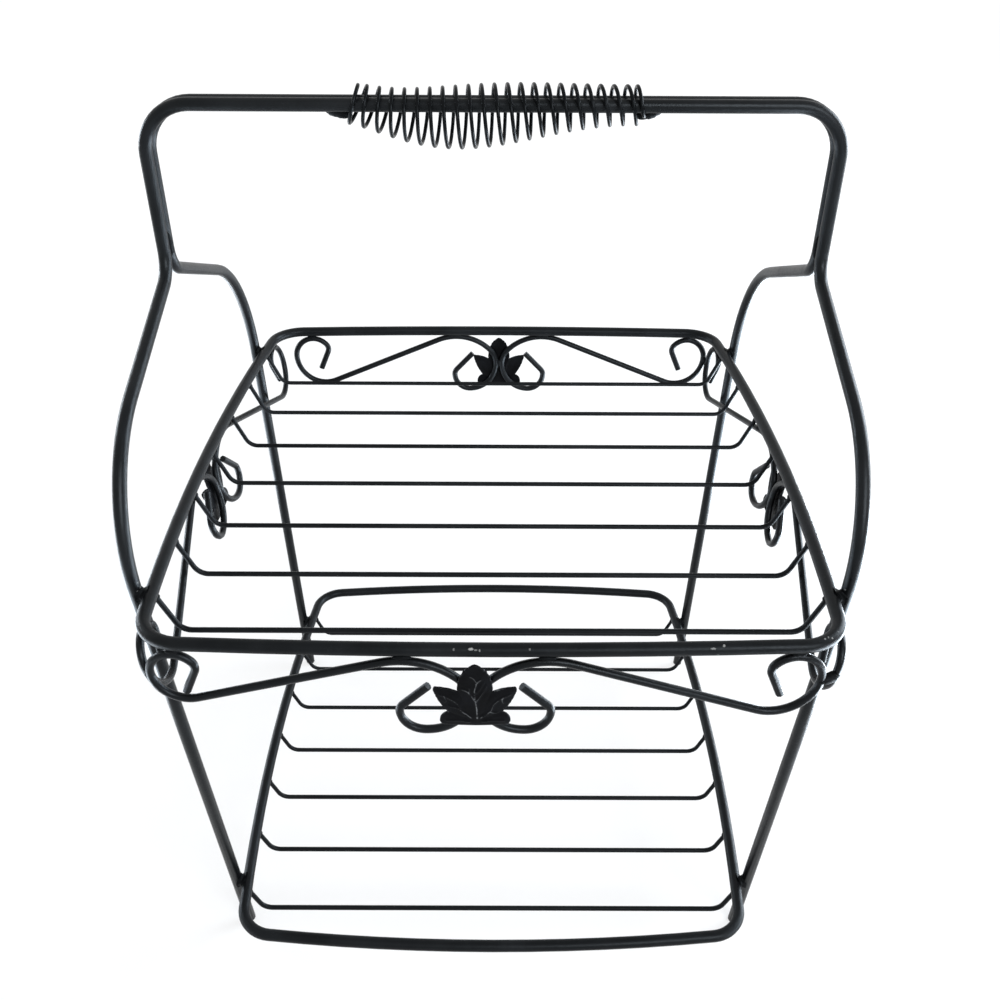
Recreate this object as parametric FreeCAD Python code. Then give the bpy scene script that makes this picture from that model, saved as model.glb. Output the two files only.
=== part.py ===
import FreeCAD, Part
import math
import os

Vector = FreeCAD.Vector
up = Vector(0, 0, 1)

# Wire stock. All lengths are in millimetres and all angles in degrees.
rod_diameter = 5.0
grid_wire_diameter = 2.2
scroll_wire_diameter = 3.0
coil_wire_diameter = 1.4
weld_gap = 0.2

# Rods and wires are drawn as bars with this many flats, corners on the true radius.
rod_sides = 12
grid_wire_sides = 6
scroll_wire_sides = 8
coil_wire_sides = 5

# The two bent rods that make the handle, the shoulders and the four legs.
handle_height = 351.5
handle_corner_radius = 18.0
shoulder_bend_radius = 12.0
leg_depth_at_upper_rim = 102.0
leg_depth_at_lower_rim = 91.5
foot_spare_length = 12.0
foot_chamfer = 0.9

# Shoulder and hip, as shares of the rise from the upper rim to the handle.
shoulder_rise_share = 0.5675
hip_rise_share = 0.2976

# The two tray rims, bowed rectangles of the same rod.
upper_rim_height = 207.0
upper_rim_half_width = 124.7
upper_rim_half_depth = 130.7
upper_rim_side_bow_radius = 1250.0
upper_rim_end_bow_radius = 2350.0
upper_rim_corner_radius = 16.0
lower_rim_height = 32.0
lower_rim_half_width = 115.5
lower_rim_half_depth = 124.3
lower_rim_side_bow_radius = 1130.0
lower_rim_end_bow_radius = 960.0
lower_rim_corner_radius = 15.0

# The grid wires that make the tray floors.
grid_wire_count = 7
upper_grid_margin = 29.9
upper_grid_drop = 17.5
lower_grid_margin = 28.0
lower_grid_drop = 14.0
grid_bend_radius = 6.0
grid_end_angle = 66.0

# The scrolled wires under the upper rim, two to a side.
scroll_outset = 1.3
twin_gap = 0.4
front_scroll_lean = 0.0
rear_scroll_lean = 8.0
left_scroll_lean = 11.0
right_scroll_lean = 8.0
hook_top_radius = 9.5
hook_bottom_radius = 15.4
round_hook_top_radius = 8.4
round_hook_bottom_radius = 11.5
hook_tip_radius = 4.0
hook_tail_length = 10.2
hook_tail_heading = 66.0
hook_tip_turn = 64.0
front_right_hook_inset = 3.5
rear_left_hook_inset = 5.5
crest_radius = 27.0
crest_station = 24.0
crest_fall_angle = 45.0
front_loop_bottom_radius = 15.7
loop_bottom_radius = 14.5
loop_side_radius = 8.6
loop_tip_radius = 4.0
loop_tip_turn = 45.0
loop_end_length = 12.8
front_motif_shift = -5.3
rear_motif_shift = 2.3
left_motif_shift = 0.0
right_motif_shift = -4.0

# The sheet leaf at the middle of each side.
leaf_width = 28.0
leaf_height = 27.5
leaf_thickness = 0.9
front_leaf_tip_drop = 2.9
rear_leaf_tip_drop = 5.5
side_leaf_tip_drop = 4.8
midrib_width = 1.8
midrib_height = 0.7

# Half of the leaf's edge from its tip to its foot, one list for each lobe.
# Each pair is a share of the half width and a share of the height; three in a row make an arc.
leaf_lobe_shares = [
    [(0.0, 0.0), (0.2, 0.065), (0.36, 0.2), (0.42, 0.31), (0.42, 0.433)],
    [(0.42, 0.433), (0.7, 0.378), (0.96, 0.36), (1.0, 0.385), (0.985, 0.44), (0.9, 0.56), (0.65, 0.767)],
    [(0.65, 0.767), (0.79, 0.81), (0.86, 0.89), (0.83, 0.955), (0.7, 0.985), (0.35, 0.995), (0.0, 1.0)],
]
midrib_reach_share = 0.9

# The wire coiled round the handle bar as a grip, with one close turn more at each end.
coil_turns = 21
coil_half_length = 50.6
coil_shift = 0.8
coil_end_pitch = 2.2
coil_end_radius = 6.4
coil_middle_radius = 10.5
coil_end_sag = 0.3
coil_middle_sag = 4.8
coil_left_lean = 3.15
coil_right_lean = 0.75
coil_tail_length = 2.6

# Powers of the share of the coil's length, which put its fullest and lowest turns left of its middle.
fullest_turn_share = 0.78
lowest_turn_share = 0.61

rod_radius = rod_diameter / 2
scroll_wire_radius = scroll_wire_diameter / 2
rod_spacing = rod_diameter + weld_gap
handle_rise = handle_height - upper_rim_height
shoulder_height = upper_rim_height + shoulder_rise_share * handle_rise
hip_height = upper_rim_height + hip_rise_share * handle_rise


def straight(start, end):
    return Part.LineSegment(start, end).toShape()


def arc(start, middle, end):
    return Part.Arc(start, middle, end).toShape()


def section(start, along, diameter, sides):
    """The outline of a wire at its start: a polygon with its corners on the wire's circle."""
    circle = Part.Circle(start, along, diameter / 2)
    corners = [circle.value(2 * math.pi * number / sides) for number in range(sides)]
    return Part.makePolygon(corners + [corners[0]])


def bent_wire(edges, diameter, sides):
    """A solid wire swept along lines and arcs that run on into each other."""
    first = edges[0]
    start = first.valueAt(first.FirstParameter)
    along = first.tangentAt(first.FirstParameter)
    path = Part.Wire(edges)
    return path.makePipeShell([section(start, along, diameter, sides)], True, False)


def rounded_path(points, radii):
    """Straight runs through the points, with each inner corner rounded."""
    edges = []
    start = points[0]
    for corner, after, radius in zip(points[1:-1], points[2:], radii):
        arriving = (corner - start).normalize()
        leaving = (after - corner).normalize()
        half_turn = arriving.getAngle(leaving) / 2
        reach = radius * math.tan(half_turn)
        inward = (leaving - arriving).normalize()
        middle = corner + inward * (radius / math.cos(half_turn) - radius)
        last = corner + leaving * reach
        edges.append(straight(start, corner - arriving * reach))
        edges.append(arc(corner - arriving * reach, middle, last))
        start = last
    edges.append(straight(start, points[-1]))
    return edges


class Rim:
    """A tray rim: four edges bowed outward and four round corners, all tangent."""

    def __init__(self, height, half_width, half_depth, side_bow_radius, end_bow_radius, corner_radius):
        self.height = height
        self.half_width = half_width
        self.half_depth = half_depth
        self.side_bow_radius = side_bow_radius
        self.end_bow_radius = end_bow_radius
        end_centre = Vector(0, half_depth - end_bow_radius, 0)
        side_centre = Vector(half_width - side_bow_radius, 0, 0)
        to_end_centre = end_bow_radius - corner_radius
        to_side_centre = side_bow_radius - corner_radius
        between = side_centre - end_centre
        run = (to_end_centre ** 2 - to_side_centre ** 2 + between.Length ** 2) / (2 * between.Length)
        rise = math.sqrt(to_end_centre ** 2 - run ** 2)
        outward = Vector(between.y, -between.x, 0).normalize()
        corner = end_centre + Vector(between).normalize() * run + outward * rise
        toward_end = (corner - end_centre).normalize()
        toward_side = (corner - side_centre).normalize()
        self.end_tangent = corner + toward_end * corner_radius
        self.side_tangent = corner + toward_side * corner_radius
        self.corner_middle = corner + (toward_end + toward_side).normalize() * corner_radius

    def side_at(self, y):
        """Distance of a side edge from the middle plane, at this depth."""
        return self.half_width - self.side_bow_radius + math.sqrt(self.side_bow_radius ** 2 - y ** 2)

    def end_at(self, x):
        """Distance of the front or rear edge from the middle plane, at this width."""
        return self.half_depth - self.end_bow_radius + math.sqrt(self.end_bow_radius ** 2 - x ** 2)

    def place(self, point, x_sign, y_sign):
        return Vector(point.x * x_sign, point.y * y_sign, self.height)

    def solid(self):
        end_middle = Vector(0, self.half_depth, 0)
        side_middle = Vector(self.half_width, 0, 0)
        edges = []
        for x_sign, y_sign in ((1, 1), (-1, -1)):
            end_start = self.place(self.end_tangent, -x_sign, y_sign)
            end_stop = self.place(self.end_tangent, x_sign, y_sign)
            side_start = self.place(self.side_tangent, x_sign, y_sign)
            side_stop = self.place(self.side_tangent, x_sign, -y_sign)
            next_end = self.place(self.end_tangent, x_sign, -y_sign)
            edges.append(arc(end_start, self.place(end_middle, x_sign, y_sign), end_stop))
            edges.append(arc(end_stop, self.place(self.corner_middle, x_sign, y_sign), side_start))
            edges.append(arc(side_start, self.place(side_middle, x_sign, y_sign), side_stop))
            edges.append(arc(side_stop, self.place(self.corner_middle, x_sign, -y_sign), next_end))
        return bent_wire(edges, rod_diameter, rod_sides)


upper_rim = Rim(upper_rim_height, upper_rim_half_width, upper_rim_half_depth,
                upper_rim_side_bow_radius, upper_rim_end_bow_radius, upper_rim_corner_radius)
lower_rim = Rim(lower_rim_height, lower_rim_half_width, lower_rim_half_depth,
                lower_rim_side_bow_radius, lower_rim_end_bow_radius, lower_rim_corner_radius)


def leg_point(height):
    """A point of the rear right leg, which leans against both rims."""
    low = Vector(lower_rim.side_at(leg_depth_at_lower_rim) + rod_spacing,
                 leg_depth_at_lower_rim, lower_rim_height)
    high = Vector(upper_rim.side_at(leg_depth_at_upper_rim) + rod_spacing,
                  leg_depth_at_upper_rim, upper_rim_height)
    return low + (high - low) * ((height - lower_rim_height) / (upper_rim_height - lower_rim_height))


def frame(depth_sign):
    """One rod: leg, hip, shoulder, neck, half of the doubled handle bar, and back down.

    The hip's bend starts where the leg is welded to the upper rim.
    """
    foot = leg_point(-foot_spare_length)
    hip = leg_point(hip_height)
    neck_depth = rod_spacing / 2
    shoulder = Vector(hip.x, neck_depth, shoulder_height)
    leg_top = hip - leg_point(upper_rim_height)
    hip_bend_radius = leg_top.Length / math.tan((shoulder - hip).getAngle(leg_top) / 2)
    right_side = [
        Vector(hip.x, neck_depth, handle_height),
        shoulder,
        hip,
        foot,
    ]
    left_side = [Vector(-point.x, point.y, point.z) for point in reversed(right_side)]
    points = [Vector(point.x, point.y * depth_sign, point.z) for point in left_side + right_side]
    side_radii = [hip_bend_radius, shoulder_bend_radius, handle_corner_radius]
    rod = bent_wire(rounded_path(points, side_radii + side_radii[::-1]), rod_diameter, rod_sides)
    ground_reach = leg_depth_at_upper_rim + upper_rim_half_width
    ground = Part.makeBox(2 * ground_reach, 2 * ground_reach, 2 * foot_spare_length,
                          Vector(-ground_reach, -ground_reach, -2 * foot_spare_length))
    rod = rod.cut(ground)
    foot_edges = [edge for edge in rod.Edges if edge.BoundBox.ZMax < foot_chamfer]
    return rod.makeChamfer(foot_chamfer, foot_edges)


def grid_wire(rim, drop, y):
    """A floor wire whose ends turn up and butt against the rim from below."""
    slope = math.radians(grid_end_angle)
    toward_rim = Vector(math.cos(slope), 0, math.sin(slope))
    on_rim = Vector(rim.side_at(y), y, rim.height)
    tip = on_rim - toward_rim * (rod_radius + weld_gap)
    bend = on_rim - toward_rim * (drop / math.sin(slope))
    points = [
        Vector(-tip.x, tip.y, tip.z),
        Vector(-bend.x, bend.y, bend.z),
        bend,
        tip,
    ]
    return bent_wire(rounded_path(points, [grid_bend_radius, grid_bend_radius]),
                     grid_wire_diameter, grid_wire_sides)


hook_drop = rod_radius + scroll_wire_radius + weld_gap
crest_drop = math.sqrt(hook_drop ** 2 - scroll_outset ** 2)


class Panel:
    """One side of the upper tray, and the sizes of the two scrolls and the leaf that hang there.

    The scrolls of one panel lie beside each other along the rim edge. Each hangs from a crest
    near the middle and from a hook near its corner, and the pair may lean inward below the rim.
    """

    def __init__(self, outward, along, edge_at, edge_corner, neighbour_corner,
                 motif_shift, lean, tip_drop, loop_radius, hook_radii, hook_insets):
        self.outward = outward
        self.along = along
        self.edge_at = edge_at
        self.edge_corner = edge_corner
        self.hook_reach = neighbour_corner - (scroll_wire_diameter + weld_gap) / math.sqrt(2)
        self.motif_shift = motif_shift
        self.tip_drop = tip_drop
        self.loop_radius = loop_radius
        self.hook_radii = hook_radii
        self.hook_insets = hook_insets
        slope = math.radians(lean)
        self.rise = up * math.cos(slope) + outward * math.sin(slope)
        self.face = outward * math.cos(slope) - up * math.sin(slope)

    def place(self, station, outset):
        return self.along * station + self.outward * outset + up * (upper_rim_height - crest_drop)

    def crest(self, side, shift):
        station = shift + side * crest_station
        return self.place(station, self.edge_at(station) + scroll_outset)

    def hook_end(self, side):
        return self.place(side * (self.hook_reach - self.hook_insets[side]), self.edge_corner)

    def leaf_back(self):
        """The point behind the leaf's middle at crest height, just clear of both scrolls."""
        crest = self.crest(1, 0)
        run = (self.place(self.hook_reach, self.edge_corner) - crest).normalize()
        middle = crest - run * crest_station
        return middle + self.along * self.motif_shift + self.face * (scroll_wire_radius + weld_gap)


def setback(lean):
    """How far a hook stays back from a neighbour that leans toward it."""
    return hook_top_radius * math.tan(math.radians(lean))


end_corner = upper_rim.end_tangent.y
side_corner = upper_rim.side_tangent.x
tall_hook = (hook_top_radius, hook_bottom_radius)
round_hook = (round_hook_top_radius, round_hook_bottom_radius)
tall_hooks = {-1: tall_hook, 1: tall_hook}
front_insets = {-1: setback(left_scroll_lean), 1: setback(right_scroll_lean) + front_right_hook_inset}
rear_insets = {-1: setback(left_scroll_lean) + rear_left_hook_inset, 1: setback(right_scroll_lean)}
side_insets = {-1: setback(front_scroll_lean), 1: setback(rear_scroll_lean)}
front_panel = Panel(Vector(0, -1, 0), Vector(1, 0, 0), upper_rim.end_at, end_corner, side_corner,
                    front_motif_shift, front_scroll_lean, front_leaf_tip_drop, front_loop_bottom_radius,
                    {-1: round_hook, 1: tall_hook}, front_insets)
rear_panel = Panel(Vector(0, 1, 0), Vector(1, 0, 0), upper_rim.end_at, end_corner, side_corner,
                   rear_motif_shift, rear_scroll_lean, rear_leaf_tip_drop, loop_bottom_radius,
                   tall_hooks, rear_insets)
left_panel = Panel(Vector(-1, 0, 0), Vector(0, 1, 0), upper_rim.side_at, side_corner, end_corner,
                   left_motif_shift, left_scroll_lean, side_leaf_tip_drop, loop_bottom_radius,
                   tall_hooks, side_insets)
right_panel = Panel(Vector(1, 0, 0), Vector(0, 1, 0), upper_rim.side_at, side_corner, end_corner,
                    right_motif_shift, right_scroll_lean, side_leaf_tip_drop, loop_bottom_radius,
                    tall_hooks, side_insets)


def direction(heading):
    return Vector(math.cos(heading), math.sin(heading), 0)


def leftward(heading):
    return Vector(-math.sin(heading), math.cos(heading), 0)


class Trace:
    """A flat path drawn by steps forward and turns; positive turns go to the left."""

    def __init__(self, start, heading, place):
        self.point = start
        self.heading = heading
        self.place = place
        self.edges = []

    def forward(self, length):
        end = self.point + direction(self.heading) * length
        self.edges.append(straight(self.place(self.point), self.place(end)))
        self.point = end

    def turn(self, radius, angle):
        side = math.copysign(radius, angle)
        centre = self.point + leftward(self.heading) * side
        middle = centre - leftward(self.heading + angle / 2) * side
        end = centre - leftward(self.heading + angle) * side
        self.edges.append(arc(self.place(self.point), self.place(middle), self.place(end)))
        self.point = end
        self.heading = self.heading + angle


def scroll(panel, side):
    """A wire from its corner hook, up to a crest under the rim, and round the middle loop."""
    crest = panel.crest(side, panel.motif_shift)
    span = panel.hook_end(side) - crest
    run = Vector(span).normalize()
    rise = (panel.rise - run * panel.rise.dot(run)).normalize()

    def place(point):
        return crest - run * (point.x + crest_station) + rise * (point.y + crest_drop)

    top_radius, bottom_radius = panel.hook_radii[side]
    hook_side = Vector(-crest_station - span.Length, -hook_drop - top_radius, 0)
    hook_top_centre = hook_side + Vector(top_radius, 0, 0)
    hook_bottom_centre = hook_side + Vector(bottom_radius, 0, 0)
    crest_centre = Vector(-crest_station, -crest_drop - crest_radius, 0)
    between = crest_centre - hook_bottom_centre
    climb = math.atan2(between.y, between.x) + math.asin((bottom_radius + crest_radius) / between.Length)
    climb_length = math.sqrt(between.Length ** 2 - (bottom_radius + crest_radius) ** 2)
    fall = math.radians(crest_fall_angle)
    quarter = math.pi / 2
    loop_top_reach = crest_station - crest_radius * math.sin(fall) - (scroll_wire_diameter + twin_gap) / 2
    loop_top_radius = loop_top_reach / (1 - math.cos(fall))

    tail_heading = math.radians(hook_tail_heading)
    tip_turn = math.radians(hook_tip_turn)
    hook_start = hook_top_centre - leftward(tail_heading + tip_turn) * top_radius
    tip_centre = hook_start + leftward(tail_heading + tip_turn) * hook_tip_radius
    tip_start = tip_centre - leftward(tail_heading) * hook_tip_radius
    trace = Trace(tip_start - direction(tail_heading) * hook_tail_length, tail_heading, place)
    trace.forward(hook_tail_length)
    trace.turn(hook_tip_radius, tip_turn)
    trace.turn(top_radius, 3 * quarter - tail_heading - tip_turn)
    trace.turn(bottom_radius, quarter + climb)
    trace.forward(climb_length)
    trace.turn(crest_radius, -climb - fall)
    trace.turn(loop_top_radius, fall - quarter)
    trace.turn(panel.loop_radius, -quarter)
    trace.turn(loop_side_radius, -quarter)
    trace.turn(loop_tip_radius, -math.radians(loop_tip_turn))
    trace.forward(loop_end_length)
    return bent_wire(trace.edges, scroll_wire_diameter, scroll_wire_sides)


def leaf(panel):
    """A flat lobed leaf with a raised midrib on its outer face."""
    back = panel.leaf_back() - panel.rise * (panel.tip_drop - crest_drop)

    def place(share, side):
        return back + panel.along * (side * share[0] * leaf_width / 2) - panel.rise * (share[1] * leaf_height)

    edges = []
    for side in (1, -1):
        lobes = leaf_lobe_shares if side == 1 else [lobe[::-1] for lobe in leaf_lobe_shares[::-1]]
        for lobe in lobes:
            points = [place(share, side) for share in lobe]
            edges.extend(arc(*points[first:first + 3]) for first in range(0, len(points) - 1, 2))
    blade = Part.Face(Part.Wire(edges)).extrude(panel.face * leaf_thickness)
    foot = place((0, midrib_reach_share), 1) + panel.face * leaf_thickness
    half_rib = panel.along * (midrib_width / 2)
    rib_corners = [foot - half_rib, foot + panel.face * midrib_height, foot + half_rib]
    rib_face = Part.Face(Part.makePolygon(rib_corners + [rib_corners[0]]))
    rib = rib_face.extrude(panel.rise * (leaf_height * (2 * midrib_reach_share - 1)))
    return blade.fuse(rib).removeSplitter()


def coil_point(turn):
    """Place of the coil after this many turns from its first low point, the close end turns included."""
    full_turn = min(max(turn, 0), coil_turns)
    share = full_turn / coil_turns
    bulge = math.sin(math.pi * share ** fullest_turn_share) ** 2
    droop = math.sin(math.pi * share ** lowest_turn_share) ** 2
    radius = coil_end_radius + (coil_middle_radius - coil_end_radius) * bulge
    sag = coil_end_sag + (coil_middle_sag - coil_end_sag) * droop
    lean = coil_left_lean * (1 - share) ** 3 - coil_right_lean
    station = coil_shift + (2 * share - 1) * coil_half_length + (turn - full_turn) * coil_end_pitch
    angle = math.pi * (2 * turn + 1)
    return Vector(station + lean * math.cos(angle),
                  -radius * math.sin(angle),
                  handle_height - sag + radius * math.cos(angle))


def coil_heading(turn):
    step = 1 / 1000
    return (coil_point(turn + step) - coil_point(turn - step)).normalize()


def tangent_arc(start, heading, end):
    """The arc that leaves the start along the heading and reaches the end."""
    chord = end - start
    across = chord - heading * chord.dot(heading)
    radius = chord.Length ** 2 / (2 * across.Length)
    across.normalize()
    centre = start + across * radius
    middle = centre + (start + chord * 0.5 - centre).normalize() * radius
    return arc(start, middle, end)


def two_arcs(start, start_heading, end, end_heading):
    """A pair of tangent arcs between two points with given headings."""
    chord = end - start
    headings = start_heading + end_heading
    along = chord.dot(headings)
    spread = 4 - headings.dot(headings)
    reach = (math.sqrt(along ** 2 + chord.dot(chord) * spread) - along) / spread
    joint = (start + start_heading * reach + end - end_heading * reach) * 0.5
    first = tangent_arc(start, start_heading, joint)
    return [first, tangent_arc(joint, first.tangentAt(first.LastParameter), end)]


def coil_path():
    """The coil's line, whose tails tuck under the handle rods: left from behind, right from the front."""
    tuck_height = handle_height - rod_radius - weld_gap - coil_wire_diameter / 2
    rod_depth = rod_spacing / 2
    inward = Vector(0, 1, 0)
    first_turn = -3 / 4
    last_turn = coil_turns + 3 / 4
    turns = [first_turn] + [half / 2 for half in range(-1, 2 * coil_turns + 2)] + [last_turn]
    entry = Vector(coil_point(-1).x, rod_depth, tuck_height)
    leaving = Vector(coil_point(coil_turns + 1).x, -rod_depth, tuck_height)
    stations = [(coil_point(turn), coil_heading(turn)) for turn in turns]
    stations = [(entry, inward)] + stations + [(leaving, inward)]
    edges = [straight(entry - inward * coil_tail_length, entry)]
    for (start, start_heading), (end, end_heading) in zip(stations, stations[1:]):
        edges.extend(two_arcs(start, start_heading, end, end_heading))
    edges.append(straight(leaving, leaving + inward * coil_tail_length))
    return edges


def least_coil_gap(edges, samples_per_edge=8):
    """Smallest room between the coil and itself, between points over half a turn apart."""
    points = []
    for edge in edges:
        points.extend(edge.discretize(Number=samples_per_edge)[:-1])
    apart = 3 * samples_per_edge
    nearest = min(one.distanceToPoint(other)
                  for place, one in enumerate(points)
                  for other in points[place + apart:])
    return nearest - coil_wire_diameter


def build_parts():
    parts = {
        "front_frame": frame(-1),
        "rear_frame": frame(1),
        "upper_rim": upper_rim.solid(),
        "lower_rim": lower_rim.solid(),
    }
    for number in range(grid_wire_count):
        place_share = 2 * number / (grid_wire_count - 1) - 1
        upper_depth = place_share * (upper_rim_half_depth - upper_grid_margin)
        lower_depth = place_share * (lower_rim_half_depth - lower_grid_margin)
        name = str(number + 1)
        parts["upper_grid_" + name] = grid_wire(upper_rim, upper_grid_drop, upper_depth)
        parts["lower_grid_" + name] = grid_wire(lower_rim, lower_grid_drop, lower_depth)
    panels = (("front", front_panel), ("rear", rear_panel), ("left", left_panel), ("right", right_panel))
    for name, panel in panels:
        parts["scroll_" + name + "_1"] = scroll(panel, -1)
        parts["scroll_" + name + "_2"] = scroll(panel, 1)
        parts["leaf_" + name] = leaf(panel)
    coil_edges = coil_path()
    print("least gap of the coil to itself, mm:", round(least_coil_gap(coil_edges), 3))
    parts["coil_grip"] = bent_wire(coil_edges, coil_wire_diameter, coil_wire_sides)
    return parts


parts = build_parts()
box = Part.makeCompound(list(parts.values())).optimalBoundingBox(False, False)
to_box_middle = Vector(-box.Center.x, -box.Center.y, 0)
os.makedirs("parts", exist_ok=True)
for node, shape in parts.items():
    shape.translate(to_box_middle)
    shape.exportStep("parts/" + node + ".step")
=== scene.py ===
import math

import bpy
from mathutils import Matrix, Vector, noise
from mathutils.geometry import delaunay_2d_cdt
from mathutils.kdtree import KDTree

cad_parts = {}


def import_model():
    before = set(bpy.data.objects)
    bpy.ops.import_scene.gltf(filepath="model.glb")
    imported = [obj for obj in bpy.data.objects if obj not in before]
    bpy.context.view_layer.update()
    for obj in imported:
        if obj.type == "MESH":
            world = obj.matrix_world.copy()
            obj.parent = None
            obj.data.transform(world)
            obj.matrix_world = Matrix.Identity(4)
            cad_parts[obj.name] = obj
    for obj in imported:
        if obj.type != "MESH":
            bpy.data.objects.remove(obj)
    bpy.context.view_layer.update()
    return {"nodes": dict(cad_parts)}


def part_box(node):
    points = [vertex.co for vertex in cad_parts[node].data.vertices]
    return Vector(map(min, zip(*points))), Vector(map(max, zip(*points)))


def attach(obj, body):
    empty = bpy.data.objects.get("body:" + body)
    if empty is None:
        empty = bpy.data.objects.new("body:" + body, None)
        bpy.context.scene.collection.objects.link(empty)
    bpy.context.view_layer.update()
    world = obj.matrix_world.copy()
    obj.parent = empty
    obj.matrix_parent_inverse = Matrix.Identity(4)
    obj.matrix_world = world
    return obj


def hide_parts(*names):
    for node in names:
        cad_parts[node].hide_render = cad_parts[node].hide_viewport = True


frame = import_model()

nodes = frame["nodes"]
scene = bpy.context.scene
MM = 0.001
UP = Vector((0, 0, 1))

# Vector noise starts from the clock unless it is given a seed.
NOISE_SEED = 7
noise.seed_set(NOISE_SEED)


def box_mm(node):
    """A node's lowest and highest corners in millimetres."""
    return [Vector(corner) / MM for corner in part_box(node)]


# Sizes repeated from the part, in millimetres and degrees.
ROD_RADIUS = 2.5
ROD_SPACING = 5.2
SCROLL_RADIUS = 1.5
SCROLL_OUTSET = 1.3
SCROLL_SPACING = 4.2
GRID_RADIUS = 1.1
GRID_END_ANGLE = 66.0
GRID_WIRE_COUNT = 7
COIL_RADIUS = 0.7
HANDLE_HEIGHT = 351.5
HOOK_TOP_RADIUS = 9.5
CREST_STATION = 24.0

# The plane between the two bent rods, which lies a little behind the origin.
MIDDLE_DEPTH = (box_mm("front_frame")[1].y + box_mm("rear_frame")[0].y) / 2
MIDDLE = Vector((0, MIDDLE_DEPTH, 0))

# Which way each side of the upper tray faces and runs, and how far its scrolls and leaf lean, in degrees.
PANELS = {
    "front": (Vector((0, -1, 0)), Vector((1, 0, 0)), 0.0),
    "rear": (Vector((0, 1, 0)), Vector((1, 0, 0)), 8.0),
    "left": (Vector((-1, 0, 0)), Vector((0, 1, 0)), 11.0),
    "right": (Vector((1, 0, 0)), Vector((0, 1, 0)), 8.0),
}


# Materials

class Graph:
    """Short names for the nodes of one material or world."""

    def __init__(self, tree, coordinates="Object"):
        self.tree = tree
        self.place = self.add("TexCoord").outputs[coordinates]

    def add(self, kind):
        return self.tree.nodes.new("ShaderNode" + kind)

    def link(self, source, target):
        self.tree.links.new(source, target)

    def noise(self, scale, detail=3.0, roughness=0.55):
        node = self.add("TexNoise")
        node.inputs["Scale"].default_value = scale
        node.inputs["Detail"].default_value = detail
        node.inputs["Roughness"].default_value = roughness
        self.link(self.place, node.inputs["Vector"])
        return node.outputs[0]

    def ramp(self, source, low, high, from_value=0.0, to_value=1.0, curve="SMOOTHSTEP"):
        node = self.add("MapRange")
        node.interpolation_type = curve
        node.inputs["From Min"].default_value = low
        node.inputs["From Max"].default_value = high
        node.inputs["To Min"].default_value = from_value
        node.inputs["To Max"].default_value = to_value
        self.link(source, node.inputs["Value"])
        return node.outputs["Result"]

    def math(self, operation, one, other):
        node = self.add("Math")
        node.operation = operation
        for socket, value in zip(node.inputs, (one, other)):
            if isinstance(value, (int, float)):
                socket.default_value = value
            else:
                self.link(value, socket)
        return node.outputs[0]

    def mix(self, share, one, other):
        """A blend of two colours, each a tuple or a socket; the node's colour sockets share their names."""
        node = self.add("Mix")
        node.data_type = "RGBA"
        self.link(share, node.inputs["Factor"])
        for socket, value in ((node.inputs[6], one), (node.inputs[7], other)):
            if isinstance(value, tuple):
                socket.default_value = (*value, 1.0)
            else:
                self.link(value, socket)
        return node.outputs[2]

    def distance(self, point, reach):
        """Distance from a point, with each axis measured in its own reach."""
        scaled = self.add("VectorMath")
        scaled.operation = "MULTIPLY_ADD"
        self.link(self.place, scaled.inputs[0])
        scaled.inputs[1].default_value = [1 / size for size in reach]
        scaled.inputs[2].default_value = [-value / size for value, size in zip(point, reach)]
        length = self.add("VectorMath")
        length.operation = "LENGTH"
        self.link(scaled.outputs[0], length.inputs[0])
        return length.outputs["Value"]

    def height(self):
        """The upward share of a place or direction."""
        node = self.add("SeparateXYZ")
        self.link(self.place, node.inputs[0])
        return node.outputs["Z"]

    def attribute(self, name):
        node = self.add("Attribute")
        node.attribute_name = name
        return node.outputs["Fac"]

    def bump(self, height, strength, depth, before=None):
        """A bump of a depth in metres, over the bump that comes before it."""
        node = self.add("Bump")
        node.inputs["Strength"].default_value = strength
        node.inputs["Distance"].default_value = depth
        self.link(height, node.inputs["Height"])
        if before is not None:
            self.link(before, node.inputs["Normal"])
        return node.outputs[0]


def blank_material(name):
    """An empty material, its graph and the socket that takes its surface."""
    material = bpy.data.materials.new(name)
    material.use_nodes = True
    material.node_tree.nodes.clear()
    graph = Graph(material.node_tree)
    return material, graph, graph.add("OutputMaterial").inputs["Surface"]


def paint_material(name):
    """A material of one principled shader, with its graph and that shader."""
    material, graph, surface = blank_material(name)
    shader = graph.add("BsdfPrincipled")
    graph.link(shader.outputs[0], surface)
    return material, graph, shader


# The black paint: its colours, dust and bare metal, whose pale colour by the leg welds is also a painted
# glint.
DARK_TONE = (0.0018, 0.002, 0.0023)
LIGHT_TONE = (0.0054, 0.0058, 0.0065)
SHEEN_TINT = (0.84, 0.93, 1.0, 1.0)
DUST = (0.04, 0.043, 0.048)
CHIP_AND_GLINT = (0.36, 0.36, 0.355)

# Noise scales are per metre, ranges are the stretch of a noise that is used, and depths are in metres.
CLOUD_SCALE = 38.0
TONE_RANGE = (0.35, 0.68)
DUST_PATCH_SCALE = 90.0
DUST_PATCH_RANGE = (0.5, 0.75)
DUST_GRAIN_RANGE = (0.58, 0.72)
DUST_SHARE = 0.25
SHEEN_RANGE = (0.3, 0.7)
SHEEN_CLOUD_SHARE = 0.6
SHEEN_GRAIN_SHARE = 0.4
RELIEF_SCALE = 170.0
RELIEF_STRENGTH = 0.25
RELIEF_DEPTH = 0.0004
GRAIN_STRENGTH = 0.6
SPECK_EDGE_SCALE = 2600.0
SPECK_RAGGEDNESS = 1.4
SPECK_EDGE_RANGE = (1.7, 1.35)
SPECK_ROUGHENING = 0.25


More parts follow.
